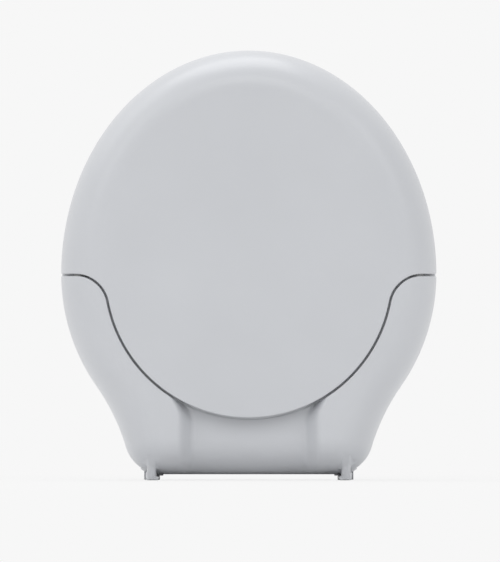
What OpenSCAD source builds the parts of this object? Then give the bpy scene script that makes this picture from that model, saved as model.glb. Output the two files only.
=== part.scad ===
// Dental floss dispenser: a pear-shaped flip-top case with a round-tongued lid, a hinged
// rear door for changing the spool, a floss spool, and a steel cutter on the deck under the lid.
// X is the width, Y the depth with the front face towards -Y, Z is up from the table.

/* [Case outline] */
// Width of the case at its widest line
case_w = 50; // [46:0.5:56]
// Height of that widest line above the table
widest_z = 27.4; // [26.4:0.1:30]
// Height of the dome above the widest line
dome_h = 29.8; // [26:0.1:34]
// Radius of the flanks just below the widest line
flank_r = 26; // [23:0.5:30]
// Radius of the hollow waist
waist_r = 28; // [22:0.5:40]
// Radius of the two rounded corners of the base
corner_r = 5.1; // [5:0.05:5.8]
// Distance of the centres of those corners from the middle
corner_x = 11.5; // [10.5:0.1:12.2]
// Height of the base above the table, which the hinge lugs reach below
foot_h = 0.75; // [0.6:0.05:0.8]

/* [Case body] */
// Depth of the case from front face to back face
case_t = 17; // [16.5:0.1:20]
// Distance from the outline over which the faces roll over to the sides
edge_run = 5; // [3:0.1:5]
// Fullness of the rolled edges, where 2 is an ellipse
edge_power = 2.2; // [2:0.05:2.6]
// Thickness of the moulded walls
wall = 1.2; // [1:0.05:1.4]
// Distance of the parting plane of the rear cover behind the middle of the depth
cover_y = 3.5; // [2.8:0.1:3.8]
// Gap between the body and the rear cover
cover_gap = 0.2; // [0.1:0.05:0.3]
// Height of the strip of body left between the rear cover and the lid
header_h = 3.2; // [2.6:0.1:4]

// Length of the nail scallop in the top edge of the rear cover
notch_l = 9; // [6:0.5:14]
// Depth of the nail scallop
notch_d = 0.7; // [0.5:0.05:0.8]
// Radius of the nail scallop
notch_r = 2.2; // [1.5:0.1:3]

/* [Lid] */
// Distance of the lid seam below the widest line
seam_drop = 0.1; // [0:0.1:1]
// Width of the gap along the lid seam
seam_gap = 0.25; // [0.1:0.05:0.35]
// Radius of the round tongue on the front of the lid
tongue_r = 19.1; // [17:0.1:20]
// Radius of the hollow shoulders beside the tongue
shoulder_r = 4.4; // [3:0.1:5]
// Gap between the back of the tongue and the wall behind it
tongue_gap = 0.25; // [0.15:0.05:0.4]
// Height of the closing bead above the tip of the tongue
bead_up = 2.6; // [2:0.1:4]
// Radius of the closing bead
bead_r = 0.42; // [0.35:0.01:0.5]
// Length of the closing bead
bead_l = 10; // [6:0.5:12]
// Width of the thumb recess between the middles of its soft sides
recess_w = 16.4; // [13:0.1:18]
// Width of each soft side of the thumb recess
recess_side = 2.8; // [1.5:0.1:3.2]
// Depth of the thumb recess behind the front face
recess_depth = 1.9; // [1.5:0.05:1.95]
// How far the thumb recess runs up behind the tip of the tongue, for the fingertip that lifts it
recess_lift = 1; // [0.6:0.1:1.4]

/* [Lid hinge] */
// Outer radius of the lid hinge barrel
barrel_r = 1.25; // [1.1:0.05:1.5]
// Distance of the lid hinge axis behind the back face
barrel_out = 0.25; // [0.15:0.05:0.4]
// Length of the whole barrel
barrel_l = 24; // [20:0.5:28]
// Length of the middle knuckle, which belongs to the lid
lid_knuckle_l = 14; // [10:0.5:15]
// Diameter of the lid hinge pin
pin_d = 1; // [0.8:0.05:1.1]
// Radial clearance of a pin that turns
pin_clear = 0.05; // [0.03:0.01:0.08]
// Side gap between neighbouring knuckles
knuckle_gap = 0.12; // [0.1:0.01:0.2]

/* [Bottom lugs] */
// Distance of each lug from the middle
lug_x = 12.9; // [11.5:0.1:13]
// Outer radius of the lug knuckles
lug_r = 0.8; // [0.75:0.05:0.9]
// Width of the stem that belongs to the body
stem_w = 1; // [0.9:0.05:1.2]
// Thickness of each ear of the rear cover
ear_w = 0.5; // [0.4:0.05:0.6]
// Distance of the stem's front end behind the front face
stem_in = 1.8; // [1.5:0.1:2.4]
// Diameter of the cover hinge pins
cover_pin_d = 0.7; // [0.6:0.05:0.8]

/* [Spool] */
// Radius of the spool flanges
spool_r = 10.8; // [10:0.1:11]
// Length of the spool along its axle
spool_w = 9.6; // [8.6:0.1:9.8]
// Thickness of the spool flanges
flange_t = 0.9; // [0.8:0.05:1.2]
// Outer radius of the spool hub
hub_r = 4.4; // [4:0.1:5]
// Radius of the wound floss
winding_r = 9.5; // [7:0.1:9.6]
// Radius of the spool post on the body
post_r = 2.25; // [2:0.05:2.5]
// Radial clearance of the spool on its post
spool_clear = 0.08; // [0.05:0.01:0.1]
// Height of the spool flanges above the floor of the case
spool_up = 1.3; // [1.2:0.05:1.45]

/* [Deck] */
// Thickness of the deck plate
deck_t = 1.4; // [1.2:0.1:1.6]
// Distance of the deck plate's top below the seam
deck_down = 0.3; // [0.2:0.05:0.4]
// Height of the deck's rim above the seam
rim_up = 1; // [0.6:0.1:1.4]
// Thickness of the deck's rim
rim_t = 0.9; // [0.7:0.1:1.2]
// Fit of the deck inside the case walls
deck_fit = 0.12; // [0.08:0.01:0.2]
// Height of the floss nozzle above the deck plate
nozzle_h = 4.2; // [3:0.1:4.2]
// Radius of the nozzle at its root
nozzle_r = 2.3; // [2:0.1:2.8]
// Radius of the bore of the nozzle
nozzle_bore = 0.6; // [0.5:0.05:0.8]

/* [Cutter] */
// Distance of the cutter from the middle
cutter_x = 6; // [4:0.1:8]
// Length of the cutter across the case
cutter_l = 8; // [7:0.1:9]
// Width of the cutter
cutter_w = 5.4; // [5:0.1:6]
// Thickness of the cutter's steel
steel_t = 0.3; // [0.25:0.05:0.35]
// Height of the cutter block above the deck plate
block_h = 3.2; // [2.6:0.1:3.2]
// Length of the folded legs of the cutter
leg_h = 1.8; // [1:0.1:2.2]
// Length of the cutting tooth
tooth_l = 3.2; // [2.4:0.1:3.4]
// Width of the cutting tooth at its root
tooth_w = 2.4; // [1.6:0.1:3]
// Lift of the cutting tooth in degrees
tooth_lift = 32; // [28:1:36]

/* [Hidden] */
$fn = 64;

// How finely the outline and the rolled edges are drawn
dome_steps = 14;
flank_steps = 5;
waist_steps = 5;
corner_steps = 6;
edge_steps = 7;
recess_steps = 6;
// More than the case in every direction, for cuts that run right through
far = 60;
// Overlap that joins two shapes of one piece
bite = 0.3;

half_w = case_w / 2;
half_t = case_t / 2;
seam_z = widest_z - seam_drop;
top_z = widest_z + dome_h;

// The case sits ahead of the origin by half of what the hinge barrel stands out behind it
barrel_y = half_t + barrel_out;
mid_y = -(barrel_out + barrel_r) / 2;

// Depths of the front, from the face inwards
tongue_back = -half_t + wall;
pocket_y = tongue_back + tongue_gap;
plate_back = pocket_y + wall;

// The waist circle touches the flank circle and the corner circle from outside
flank_c = [half_w - flank_r, widest_z];
corner_c = [corner_x, foot_h + corner_r];
centre_gap = norm(corner_c - flank_c);
centre_dir = (corner_c - flank_c) / centre_gap;
waist_along = (pow(flank_r + waist_r, 2) - pow(corner_r + waist_r, 2) + pow(centre_gap, 2)) / (2 * centre_gap);
waist_away = sqrt(pow(flank_r + waist_r, 2) - pow(waist_along, 2));
waist_c = flank_c + centre_dir * waist_along + [-centre_dir[1], centre_dir[0]] * waist_away;
flank_end = atan2(waist_c[1] - flank_c[1], waist_c[0] - flank_c[0]);
corner_end = atan2(waist_c[1] - corner_c[1], waist_c[0] - corner_c[0]);

// Lid seam
shoulder_x = sqrt(pow(tongue_r + shoulder_r, 2) - pow(shoulder_r, 2));
shoulder_z = seam_z - shoulder_r;
tongue_tip_z = seam_z - tongue_r;
bead_z = tongue_tip_z + bead_up;
recess_top_z = tongue_tip_z + recess_lift;

// Rear cover
cover_top_z = seam_z - header_h;
cover_open_front = cover_y + cover_gap / 2;
body_open_back = cover_y - cover_gap / 2;

// Bottom lugs: the base rises over its corner radius at the lugs
lug_z = lug_r;
lug_base_z = corner_c[1] - sqrt(pow(corner_r, 2) - pow(lug_x - corner_x, 2));
lug_wall_z = lug_base_z + wall * 0.7;
stem_front = -half_t + stem_in;
ear_gap = pin_clear;
lug_sweep_r = lug_r + 0.15;

// Spool and post
spool_front = plate_back + 0.6;
spool_back = spool_front + spool_w;
spool_z = foot_h + wall + spool_up + spool_r;
spool_bore_r = post_r + spool_clear;
winding_front = spool_front + flange_t + 0.05;
winding_back = spool_back - flange_t - 0.05;
post_head = 0.9;
ring_r = post_r + 1.7;

// Deck
deck_top = seam_z - deck_down;
deck_bottom = deck_top - deck_t;
deck_front = plate_back + deck_fit;
nozzle_top = deck_top + nozzle_h;

// Cutter
block_top = deck_top + block_h;
plate_top = block_top + steel_t;
strand_r = 0.25;
tooth_root_y = strand_r + (steel_t + 2 * strand_r + 0.15) / tan(tooth_lift);

// Route of the floss in the middle plane, as x and z: up from the winding, through the nozzle,
// over its lip and under the cutting tooth
route = [[-9.8, 14], [-9.8, 15.5], [-9.8, 17], [-9.8, 18.5], [-9.8, 20], [-9.8, 21.5], [-9.8, 23],
         [-9.8, 24.5], [-9.8, 26], [-9.8, 27.5], [-9.8, 29], [-9.8, 30.2], [-9.75, 30.8], [-9.5, 31.3],
         [-9.05, 31.6], [-8.5, 31.7], [-7.2, 31.65], [-5.8, 31.55], [-4.4, 31.45], [-3, 31.35],
         [-1.6, 31.25], [-0.2, 31.15], [1.2, 31.05], [2.6, 30.95], [4, 30.85], [5.2, 30.8], [6.4, 30.8],
         [7.6, 30.8], [8.8, 30.8], [10, 30.8], [11, 30.75]];

plastic = [0.79, 0.80, 0.81];
inner_plastic = [0.86, 0.87, 0.87];
steel = [0.74, 0.75, 0.77];
silk = [0.93, 0.91, 0.84];

// Right half of the outline from the crown to the middle of the base, as x, z and the outward normal
function half_outline() = concat(
    [for (i = [0:dome_steps - 1])
        let (t = 90 - 90 * i / dome_steps, n = [cos(t) / half_w, sin(t) / dome_h])
        [half_w * cos(t), widest_z + dome_h * sin(t), n[0] / norm(n), n[1] / norm(n)]],
    [for (i = [0:flank_steps - 1])
        let (t = flank_end * i / flank_steps)
        [flank_c[0] + flank_r * cos(t), flank_c[1] + flank_r * sin(t), cos(t), sin(t)]],
    [for (i = [0:waist_steps - 1])
        let (t = 180 + flank_end + (corner_end - flank_end) * i / waist_steps)
        [waist_c[0] + waist_r * cos(t), waist_c[1] + waist_r * sin(t), -cos(t), -sin(t)]],
    [for (i = [0:corner_steps])
        let (t = corner_end - (90 + corner_end) * i / corner_steps)
        [corner_c[0] + corner_r * cos(t), corner_c[1] + corner_r * sin(t), cos(t), sin(t)]]);

outline = half_outline();
outline_n = len(outline);

// One closed ring of the case at depth y, drawn inwards from the outline by d
function case_ring(d, y) = concat(
    [for (p = outline) [p[0] - d * p[2], y, p[1] - d * p[3]]],
    [for (i = [outline_n - 1:-1:1]) let (p = outline[i]) [-p[0] + d * p[2], y, p[1] - d * p[3]]]);

// The rolled edge at angle t from the middle of the depth: distance in from the outline, and depth
function edge_in(inset, t) = inset + (edge_run - inset) * (1 - pow(cos(t), 2 / edge_power));
function edge_y(inset, t) = (half_t - inset) * sign(t) * pow(abs(sin(t)), 2 / edge_power);

// Solid of the case drawn in by inset on all sides, from angle t0 to the back face
module skin(inset, t0 = -90) {
    steps = t0 < 0 ? 2 * edge_steps : edge_steps;
    rings = [for (k = [0:steps]) let (t = t0 + (90 - t0) * k / steps)
        case_ring(edge_in(inset, min(abs(t), 90)), edge_y(inset, t))];
    n = len(rings[0]);
    sides = [for (k = [0:steps - 1], i = [0:n - 1])
        let (a = k * n + i, b = k * n + (i + 1) % n)
        each [[a, a + n, b + n], [a, b + n, b]]];
    polyhedron(points = [for (r = rings) each r],
        faces = concat([[for (i = [0:n - 1]) i]], [[for (i = [n - 1:-1:0]) steps * n + i]], sides));
}

// Prism of a front-view shape from depth y0 to depth y1
module front_prism(y0, y1) {
    translate([0, y1, 0]) rotate([90, 0, 0]) linear_extrude(y1 - y0) children();
}

// Prism of a side-view shape, drawn as y and z, centred on x over width w
module side_prism(x, w) {
    translate([x - w / 2, 0, 0]) rotate([90, 0, 90]) linear_extrude(w) children();
}

// Round bar along X of length l centred on x
module x_bar(r, l, x, y, z) {
    translate([x - l / 2, y, z]) rotate([0, 90, 0]) cylinder(r = r, h = l);
}

// Front view of the lid: all above the seam, the round tongue, and its hollow shoulders
module lid_view(grow) {
    translate([-far, seam_z - grow]) square([2 * far, far]);
    translate([0, seam_z]) circle(r = tongue_r + grow, $fn = 96);
    for (side = [-1, 1]) difference() {
        polygon([[0, seam_z], [side * shoulder_x, seam_z], [side * shoulder_x, shoulder_z]]);
        translate([side * shoulder_x, shoulder_z]) circle(r = shoulder_r - grow);
    }
}

// Top view of the thumb recess: a flat floor between two soft S-shaped sides
module recess_view() {
    mid = recess_w / 2;
    soft = [for (i = [0:recess_steps]) let (u = i / recess_steps)
        [mid + recess_side * (0.5 - u), -half_t + recess_depth * (1 - cos(180 * u)) / 2]];
    polygon(concat([[-soft[0][0], -far], [soft[0][0], -far]], soft,
        [for (i = [recess_steps:-1:0]) [-soft[i][0], soft[i][1]]]));
}

// Inside outline of the case seen from above at the seam, drawn in by inset
function seam_section(inset, steps) =
    [for (k = [0:4 * steps - 1]) let (t = 90 * k / steps, c = cos(t), s = sin(t))
        [sign(c) * (half_w - inset - (edge_run - inset) * (1 - pow(abs(c), 2 / edge_power))),
         sign(s) * (half_t - inset) * pow(abs(s), 2 / edge_power)]];

// Everything is drawn about the middle of the case depth, then moved to the frame
module placed() {
    translate([0, mid_y, 0]) children();
}

// What the front wall keeps inside the case: the wall behind the tongue and the thumb recess
module front_plate() {
    front_prism(-half_t, plate_back) lid_view(seam_gap / 2 + wall);
    translate([-recess_w / 2 - recess_side / 2 - wall, -half_t, 0])
        cube([recess_w + recess_side + 2 * wall, plate_back + half_t, recess_top_z + wall]);
}

module deck_rib(side, y) {
    rib_in = half_w - wall - 2.4;
    translate([side > 0 ? rib_in : -rib_in - far, y - wall / 2, spool_z + 3])
        cube([far, wall, deck_bottom - 0.05 - spool_z - 3]);
}

module spool_post() {
    translate([0, plate_back - bite, spool_z]) rotate([-90, 0, 0]) {
        cylinder(r = post_r + 1, h = bite + 0.4);
        cylinder(r = post_r, h = bite + spool_back - plate_back + 0.1);
        translate([0, 0, bite + spool_back - plate_back + 0.1])
            cylinder(r1 = post_r + 0.2, r2 = post_r - 0.4, h = post_head);
    }
}

// Stem of a lug: a narrow skid under the base that ends in the hinge knuckle
module lug_stem(x) {
    difference() {
        union() {
            side_prism(x, stem_w) polygon([[stem_front, 0], [cover_y, 0], [cover_y, lug_wall_z],
                [-1, lug_wall_z], [stem_front, lug_wall_z + 1.3]]);
            x_bar(lug_r, stem_w, x, cover_y, lug_z);
        }
        x_bar(cover_pin_d / 2 + 0.02, stem_w + 1, x, cover_y, lug_z);
    }
}

module body_knuckles() {
    difference() {
        union() {
            for (side = [-1, 1]) {
                l = (barrel_l - lid_knuckle_l) / 2 - knuckle_gap;
                x_bar(barrel_r, l, side * (barrel_l / 2 - l / 2), barrel_y, seam_z);
            }
        }
        x_bar(pin_d / 2 + 0.02, barrel_l + 2, 0, barrel_y, seam_z);
    }
}

module body() color(plastic) placed() {
    difference() {
        skin(0);
        // The cavity, less what stands inside it
        difference() {
            skin(wall);
            front_plate();
            for (side = [-1, 1]) for (y = [-3.5, 1]) deck_rib(side, y);
            spool_post();
        }
        // The lid's place above the seam, and its tongue's pocket in the front
        translate([-far, -far, seam_z - seam_gap / 2]) cube([2 * far, 2 * far, far]);
        front_prism(-far, pocket_y) lid_view(seam_gap / 2);
        translate([0, 0, foot_h - bite]) linear_extrude(recess_top_z - foot_h + bite) recess_view();
        x_bar(bead_r + 0.13, bead_l + 0.4, 0, tongue_back, bead_z);
        // The rear cover's place
        translate([-far, body_open_back, -1]) cube([2 * far, far, cover_top_z + cover_gap + 1]);
        // Room for the cover's ears and for the lid's knuckle
        for (side = [-1, 1])
            x_bar(lug_sweep_r, stem_w + 2 * (ear_gap + ear_w) + 0.3, side * lug_x, cover_y, lug_z);
        x_bar(barrel_r + 0.15, lid_knuckle_l, 0, barrel_y, seam_z);
        x_bar(pin_d / 2 + 0.02, barrel_l + 2, 0, barrel_y, seam_z);
    }
    for (side = [-1, 1]) lug_stem(side * lug_x);
    body_knuckles();
}

module lid() color(plastic) placed() {
    difference() {
        union() {
            difference() {
                skin(0);
                skin(wall);
                // All below the seam but the tongue
                translate([-far, tongue_back + 0.05, -far]) cube([2 * far, far, far + seam_z + seam_gap / 2]);
                front_prism(-far, tongue_back + 0.1) difference() {
                    translate([-far, -far]) square([2 * far, far + seam_z + 1]);
                    lid_view(-seam_gap / 2);
                }
            }
            x_bar(bead_r, bead_l, 0, tongue_back, bead_z);
            x_bar(barrel_r, lid_knuckle_l - 2 * knuckle_gap, 0, barrel_y, seam_z);
        }
        for (side = [-1, 1])
            x_bar(barrel_r + 0.15, far, side * (lid_knuckle_l / 2 - knuckle_gap + far / 2), barrel_y, seam_z);
        x_bar(pin_d / 2 + pin_clear, barrel_l + 2, 0, barrel_y, seam_z);
    }
}

module rear_cover() color(plastic) placed() {
    difference() {
        skin(0, 0);
        difference() {
            skin(wall, 0);
            // Ring that keeps the spool on its post
            translate([0, spool_back + 0.25, spool_z]) rotate([-90, 0, 0]) difference() {
                cylinder(r = ring_r, h = far);
                translate([0, 0, -1]) cylinder(r = ring_r - 1, h = half_t - spool_back + 1);
            }
        }
        translate([-far, -far, -far]) cube([2 * far, far + cover_open_front, 2 * far]);
        translate([-far, -far, cover_top_z]) cube([2 * far, 2 * far, far]);
        // Scallop in the top edge for a fingernail
        x_bar(notch_r, notch_l, 0, half_t + notch_r - notch_d, cover_top_z);
        for (side = [-1, 1]) x_bar(lug_sweep_r, stem_w + 2 * ear_gap, side * lug_x, cover_y, lug_z);
    }
    for (side = [-1, 1], ear = [-1, 1]) cover_ear(side * lug_x + ear * (stem_w / 2 + ear_gap + ear_w / 2));
}

module cover_ear(x) {
    root = lug_wall_z - lug_z;
    difference() {
        union() {
            x_bar(lug_r, ear_w, x, cover_y, lug_z);
            translate([0, cover_y, lug_z]) side_prism(x, ear_w)
                polygon([[0, -lug_r], [0.9, -0.5], [2.4, root + 0.5], [1.2, root + 0.3],
                    [cover_gap / 2, root], [cover_gap / 2, 0], [0, 0]]);
        }
        x_bar(cover_pin_d / 2 + pin_clear, ear_w + 1, x, cover_y, lug_z);
    }
}

module lid_hinge_pin() color(steel) placed()
    x_bar(pin_d / 2, barrel_l, 0, barrel_y, seam_z);

module cover_hinge_pin(x) color(steel) placed()
    x_bar(cover_pin_d / 2, stem_w + 2 * (ear_gap + ear_w), x, cover_y, lug_z);

module spool() color(inner_plastic) placed() {
    windows = 6;
    window_r = 1.7;
    translate([0, spool_front, spool_z]) rotate([-90, 0, 0]) difference() {
        rotate_extrude() difference() {
            translate([spool_bore_r, 0]) square([spool_r - spool_bore_r, spool_w]);
            translate([hub_r, flange_t]) square([spool_r, spool_w - 2 * flange_t]);
        }
        for (i = [0:windows - 1]) rotate(360 * i / windows)
            translate([(hub_r + spool_r) / 2, 0, -1]) cylinder(r = window_r, h = spool_w + 2);
    }
}

module floss_winding() color(silk) placed()
    translate([0, winding_front, spool_z]) rotate([-90, 0, 0]) rotate_extrude() difference() {
        translate([hub_r + 0.05, 0]) square([winding_r - hub_r - 0.05, winding_back - winding_front]);
        for (z = [0, winding_back - winding_front]) translate([winding_r, z]) circle(r = 0.5);
    }

// Round cord through the route in the middle plane
module cord(points, r, sides) {
    last = len(points) - 1;
    rings = [for (k = [0:last])
        let (d = points[min(k + 1, last)] - points[max(k - 1, 0)], t = d / norm(d))
        [for (i = [0:sides - 1]) let (a = 360 * i / sides)
            [points[k][0] - r * sin(a) * t[1], r * cos(a), points[k][1] + r * sin(a) * t[0]]]];
    polyhedron(points = [for (ring = rings) each ring],
        faces = concat([[for (i = [sides - 1:-1:0]) i]], [[for (i = [0:sides - 1]) last * sides + i]],
            [for (k = [0:last - 1], i = [0:sides - 1])
                let (a = k * sides + i, b = k * sides + (i + 1) % sides)
                each [[a, b, b + sides], [a, b + sides, a + sides]]]));
}

module floss_strand() color(silk) placed() cord(route, strand_r, 8);

module deck() color(inner_plastic) placed() {
    strand_x = route[0][0];
    difference() {
        union() {
            // Plate and rim
            difference() {
                translate([0, 0, deck_bottom]) linear_extrude(seam_z + rim_up - deck_bottom)
                    polygon(seam_section(wall + deck_fit, 8));
                translate([0, 0, deck_top]) linear_extrude(far) intersection() {
                    polygon(seam_section(wall + deck_fit + rim_t, 8));
                    translate([-far, deck_front + rim_t]) square([2 * far, far]);
                }
                translate([-far, deck_front - far, 0]) cube([2 * far, far, far]);
            }
            // Floss nozzle
            translate([strand_x, 0, deck_top - bite])
                cylinder(r1 = nozzle_r, r2 = nozzle_bore + 0.7, h = nozzle_h + bite);
            // Cutter block
            translate([cutter_x - cutter_l / 2 + steel_t, -cutter_w / 2, deck_top - bite])
                cube([cutter_l - 2 * steel_t, cutter_w, block_h + bite]);
        }
        translate([strand_x, 0, deck_bottom - 1]) cylinder(r = nozzle_bore, h = far);
        translate([strand_x, 0, deck_bottom - 0.01]) cylinder(r1 = nozzle_bore + 1, r2 = nozzle_bore, h = 1);
    }
}

// Stamped cutter: a plate over the block, two legs folded down its ends, and a lifted tooth
module cutter() color(steel) placed() translate([cutter_x, 0, 0]) {
    difference() {
        union() {
            translate([-cutter_l / 2, -cutter_w / 2, block_top]) cube([cutter_l, cutter_w, steel_t]);
            for (side = [-1, 1])
                translate([side * (cutter_l - steel_t) / 2 - steel_t / 2, -cutter_w / 2, block_top - leg_h])
                    cube([steel_t, cutter_w, leg_h + steel_t]);
        }
        // Window that the tooth is cut from
        translate([0, tooth_root_y, block_top - 1]) linear_extrude(2)
            polygon([[-tooth_w / 2 - 0.2, 0], [tooth_w / 2 + 0.2, 0], [0.2, -tooth_l - 0.2], [-0.2, -tooth_l - 0.2]]);
    }
    translate([0, tooth_root_y, block_top]) rotate([-tooth_lift, 0, 0]) linear_extrude(steel_t)
        polygon([[-tooth_w / 2, 0], [tooth_w / 2, 0], [0.15, -tooth_l], [-0.15, -tooth_l]]);
}

body();
deck();
cutter();
lid();
lid_hinge_pin();
rear_cover();
cover_hinge_pin(-lug_x);  // cover_hinge_pin_left
cover_hinge_pin(lug_x);  // cover_hinge_pin_right
spool();
floss_winding();
floss_strand();
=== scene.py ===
# %% [markdown]
# A pocket dental floss dispenser, dressed in Blender around its CAD frame.
# The case is a pear-shaped box of light grey moulded plastic. Its dome is a flip-top lid whose
# round tongue reaches down the front, and a door in the back lets the spool be changed.
# Every cell below makes one piece or one finish, and says why it is made that way.

# %% Load the frame
import math
import bpy
import bmesh
import numpy as np
from mathutils import Matrix, Vector
from mathutils.geometry import delaunay_2d_cdt


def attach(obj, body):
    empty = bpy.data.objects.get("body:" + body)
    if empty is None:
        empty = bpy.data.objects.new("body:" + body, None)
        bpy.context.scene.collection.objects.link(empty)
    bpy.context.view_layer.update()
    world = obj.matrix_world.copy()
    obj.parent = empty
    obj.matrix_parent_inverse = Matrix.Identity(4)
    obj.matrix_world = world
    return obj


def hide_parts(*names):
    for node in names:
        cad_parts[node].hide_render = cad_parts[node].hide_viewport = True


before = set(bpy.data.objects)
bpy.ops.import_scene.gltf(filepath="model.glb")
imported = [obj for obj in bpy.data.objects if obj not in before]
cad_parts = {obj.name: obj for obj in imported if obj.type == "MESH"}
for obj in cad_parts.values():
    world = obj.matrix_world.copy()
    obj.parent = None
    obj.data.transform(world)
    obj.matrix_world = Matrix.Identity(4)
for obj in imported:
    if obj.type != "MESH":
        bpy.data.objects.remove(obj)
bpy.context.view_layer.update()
MM = 0.001
print("CAD nodes:", sorted(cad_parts))

# %% [markdown]
# The case is drawn once as a front view and a rolled edge, and the lid, body and door are all
# cut from that one shape, as a toolmaker would. The sizes are in millimetres and follow the
# driving dimensions of the CAD part, so the pieces meet the frame without fitting. Only the
# seam and the thumb recess are drawn a little stronger, to read as they do in the photograph.

# %% Sizes of the case
HALF_W = 25.0
HALF_T = 8.5
WIDEST_Z = 27.4
DOME_H = 29.8
FLANK_R = 26.0
WAIST_R = 28.0
CORNER_R = 5.1
CORNER_X = 11.5
FOOT_H = 0.75
EDGE_RUN = 5.0
EDGE_POWER = 2.2
WALL = 1.2
MID_Y = -0.75
SEAM_Z = 27.3
SEAM_GAP = 0.3
TONGUE_R = 19.1
SHOULDER_R = 4.4
POCKET_Y = -7.05
PLATE_BACK = -5.85
COVER_Y = 3.5
COVER_GAP = 0.2
COVER_TOP_Z = 24.1
RECESS_W = 16.8
RECESS_SIDE = 2.4
RECESS_DEPTH = 2.2
RECESS_TOP = 11.3
RECESS_FLARE = 1.3
FLARE_REACH = 2.2
RECESS_LIMIT = SEAM_Z - TONGUE_R + 4
EDGE_ROUND = 0.15
TO_FRAME = Matrix.Translation((0, MID_Y * MM, 0)) @ Matrix.Scale(MM, 4)
print("case:", 2 * HALF_W, "wide,", 2 * HALF_T, "deep,", WIDEST_Z + DOME_H, "mm high with its lugs")

# %% [markdown]
# The front view is an ellipse above the widest line and three touching circles below it: flank,
# hollow waist and base corner. Arcs give an exact outward direction at every point, and that
# direction is what the rolled edge needs.

# %% Outline of the case
def arc(centre, radius, start, stop, count, outward=1):
    """Points on a circle with their outward directions, without the last point."""
    turn = np.radians(np.linspace(start, stop, count, endpoint=False))
    ray = np.c_[np.cos(turn), np.sin(turn)]
    return np.array(centre) + radius * ray, outward * ray


def case_outline():
    """Closed front-view outline, clockwise from the crown, with outward directions."""
    turn = np.radians(np.linspace(90, 0, 96, endpoint=False))
    dome = np.c_[HALF_W * np.cos(turn), WIDEST_Z + DOME_H * np.sin(turn)]
    dome_out = np.c_[np.cos(turn) / HALF_W, np.sin(turn) / DOME_H]
    dome_out /= np.linalg.norm(dome_out, axis=1)[:, None]
    flank_c = np.array([HALF_W - FLANK_R, WIDEST_Z])
    corner_c = np.array([CORNER_X, FOOT_H + CORNER_R])
    span = np.linalg.norm(corner_c - flank_c)
    ahead = (corner_c - flank_c) / span
    along = ((FLANK_R + WAIST_R) ** 2 - (CORNER_R + WAIST_R) ** 2 + span ** 2) / (2 * span)
    away = math.sqrt((FLANK_R + WAIST_R) ** 2 - along ** 2)
    waist_c = flank_c + ahead * along + np.array([-ahead[1], ahead[0]]) * away
    flank_end = math.degrees(math.atan2(*(waist_c - flank_c)[::-1]))
    corner_end = math.degrees(math.atan2(*(waist_c - corner_c)[::-1]))
    parts = [(dome, dome_out),
             arc(flank_c, FLANK_R, 0, flank_end, 32),
             arc(waist_c, WAIST_R, 180 + flank_end, 180 + corner_end, 24, -1),
             arc(corner_c, CORNER_R, corner_end, -90, 24)]
    points = np.vstack([p for p, _ in parts])
    outs = np.vstack([o for _, o in parts])
    base = np.linspace(CORNER_X, 0, 12, endpoint=False)
    points = np.vstack([points, np.c_[base, np.full(12, FOOT_H)], [[0, FOOT_H]]])
    outs = np.vstack([outs, np.tile([0.0, -1.0], (13, 1))])
    mirror = np.array([-1, 1])
    return (np.vstack([points, (points[1:-1] * mirror)[::-1]]),
            np.vstack([outs, (outs[1:-1] * mirror)[::-1]]))


OUTLINE, OUTWARD = case_outline()
print("outline points:", len(OUTLINE), "box", OUTLINE.min(0), OUTLINE.max(0))

# %% [markdown]
# A point of the front view is lifted to the surface by its distance in from the outline. The
# rolled edge is a superellipse a little fuller than an ellipse, so the face runs into the
# side without a visible line. The same rule with a smaller box gives the inside of the wall.

# %% Lifting a front view to the case surface
ON_OUTLINE = 1e-3


def nearest_on_outline(points):
    """Outward direction of the nearest outline point, and the signed distance in from it."""
    a = OUTLINE
    ab = np.roll(OUTLINE, -1, axis=0) - a
    length2 = (ab ** 2).sum(1)
    foot = np.empty_like(points)
    out = np.empty_like(points)
    for start in range(0, len(points), 2000):
        p = points[start:start + 2000]
        u = ((p[:, None, :] - a) * ab).sum(2) / length2
        u = np.clip(u, 0, 1)
        q = a + u[..., None] * ab
        best = ((p[:, None, :] - q) ** 2).sum(2).argmin(1)
        row = np.arange(len(p))
        ub = u[row, best][:, None]
        foot[start:start + 2000] = q[row, best]
        n = OUTWARD[best] * (1 - ub) + np.roll(OUTWARD, -1, axis=0)[best] * ub
        out[start:start + 2000] = n / np.linalg.norm(n, axis=1)[:, None]
    return out, -((points - foot) * out).sum(1)


def roll_depth(d):
    """Depth from the middle of the case at distance d in from the outline."""
    c = np.clip(1 - np.clip(d, 0, EDGE_RUN) / EDGE_RUN, 0, 1) ** (EDGE_POWER / 2)
    return HALF_T * np.sqrt(1 - c ** 2) ** (2 / EDGE_POWER)


def roll_distance(depth):
    """Distance in from the outline at which the outer surface is this deep."""
    s = (depth / HALF_T) ** (EDGE_POWER / 2)
    return EDGE_RUN * (1 - math.sqrt(1 - s * s) ** (2 / EDGE_POWER))


def lift(points, side, inset=None):
    """Surface points and normals over a front view; side is -1 for the front, 1 for the back.
    With inset, a wall's thickness or a function of the depth that gives it, the wall's inside."""
    out, d = nearest_on_outline(points)
    d = np.where(d < ON_OUTLINE, 0, d)
    w = 1 - np.clip(d, 0, EDGE_RUN) / EDGE_RUN
    depth = roll_depth(d)
    xz = points
    if inset is not None:
        thickness = inset(depth / HALF_T) if callable(inset) else inset
        xz = points - (thickness * w)[:, None] * out
        depth = depth * (HALF_T - thickness) / HALF_T
    sideways = w ** (EDGE_POWER - 1) / EDGE_RUN
    forward = (depth / HALF_T) ** (EDGE_POWER - 1) / HALF_T
    normal = np.c_[sideways * out[:, 0], side * forward, sideways * out[:, 1]]
    normal /= np.linalg.norm(normal, axis=1)[:, None]
    return np.c_[xz[:, 0], side * depth, xz[:, 1]], normal


print("flat face starts", EDGE_RUN, "mm in from the outline, at depth", roll_depth(EDGE_RUN))

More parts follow.
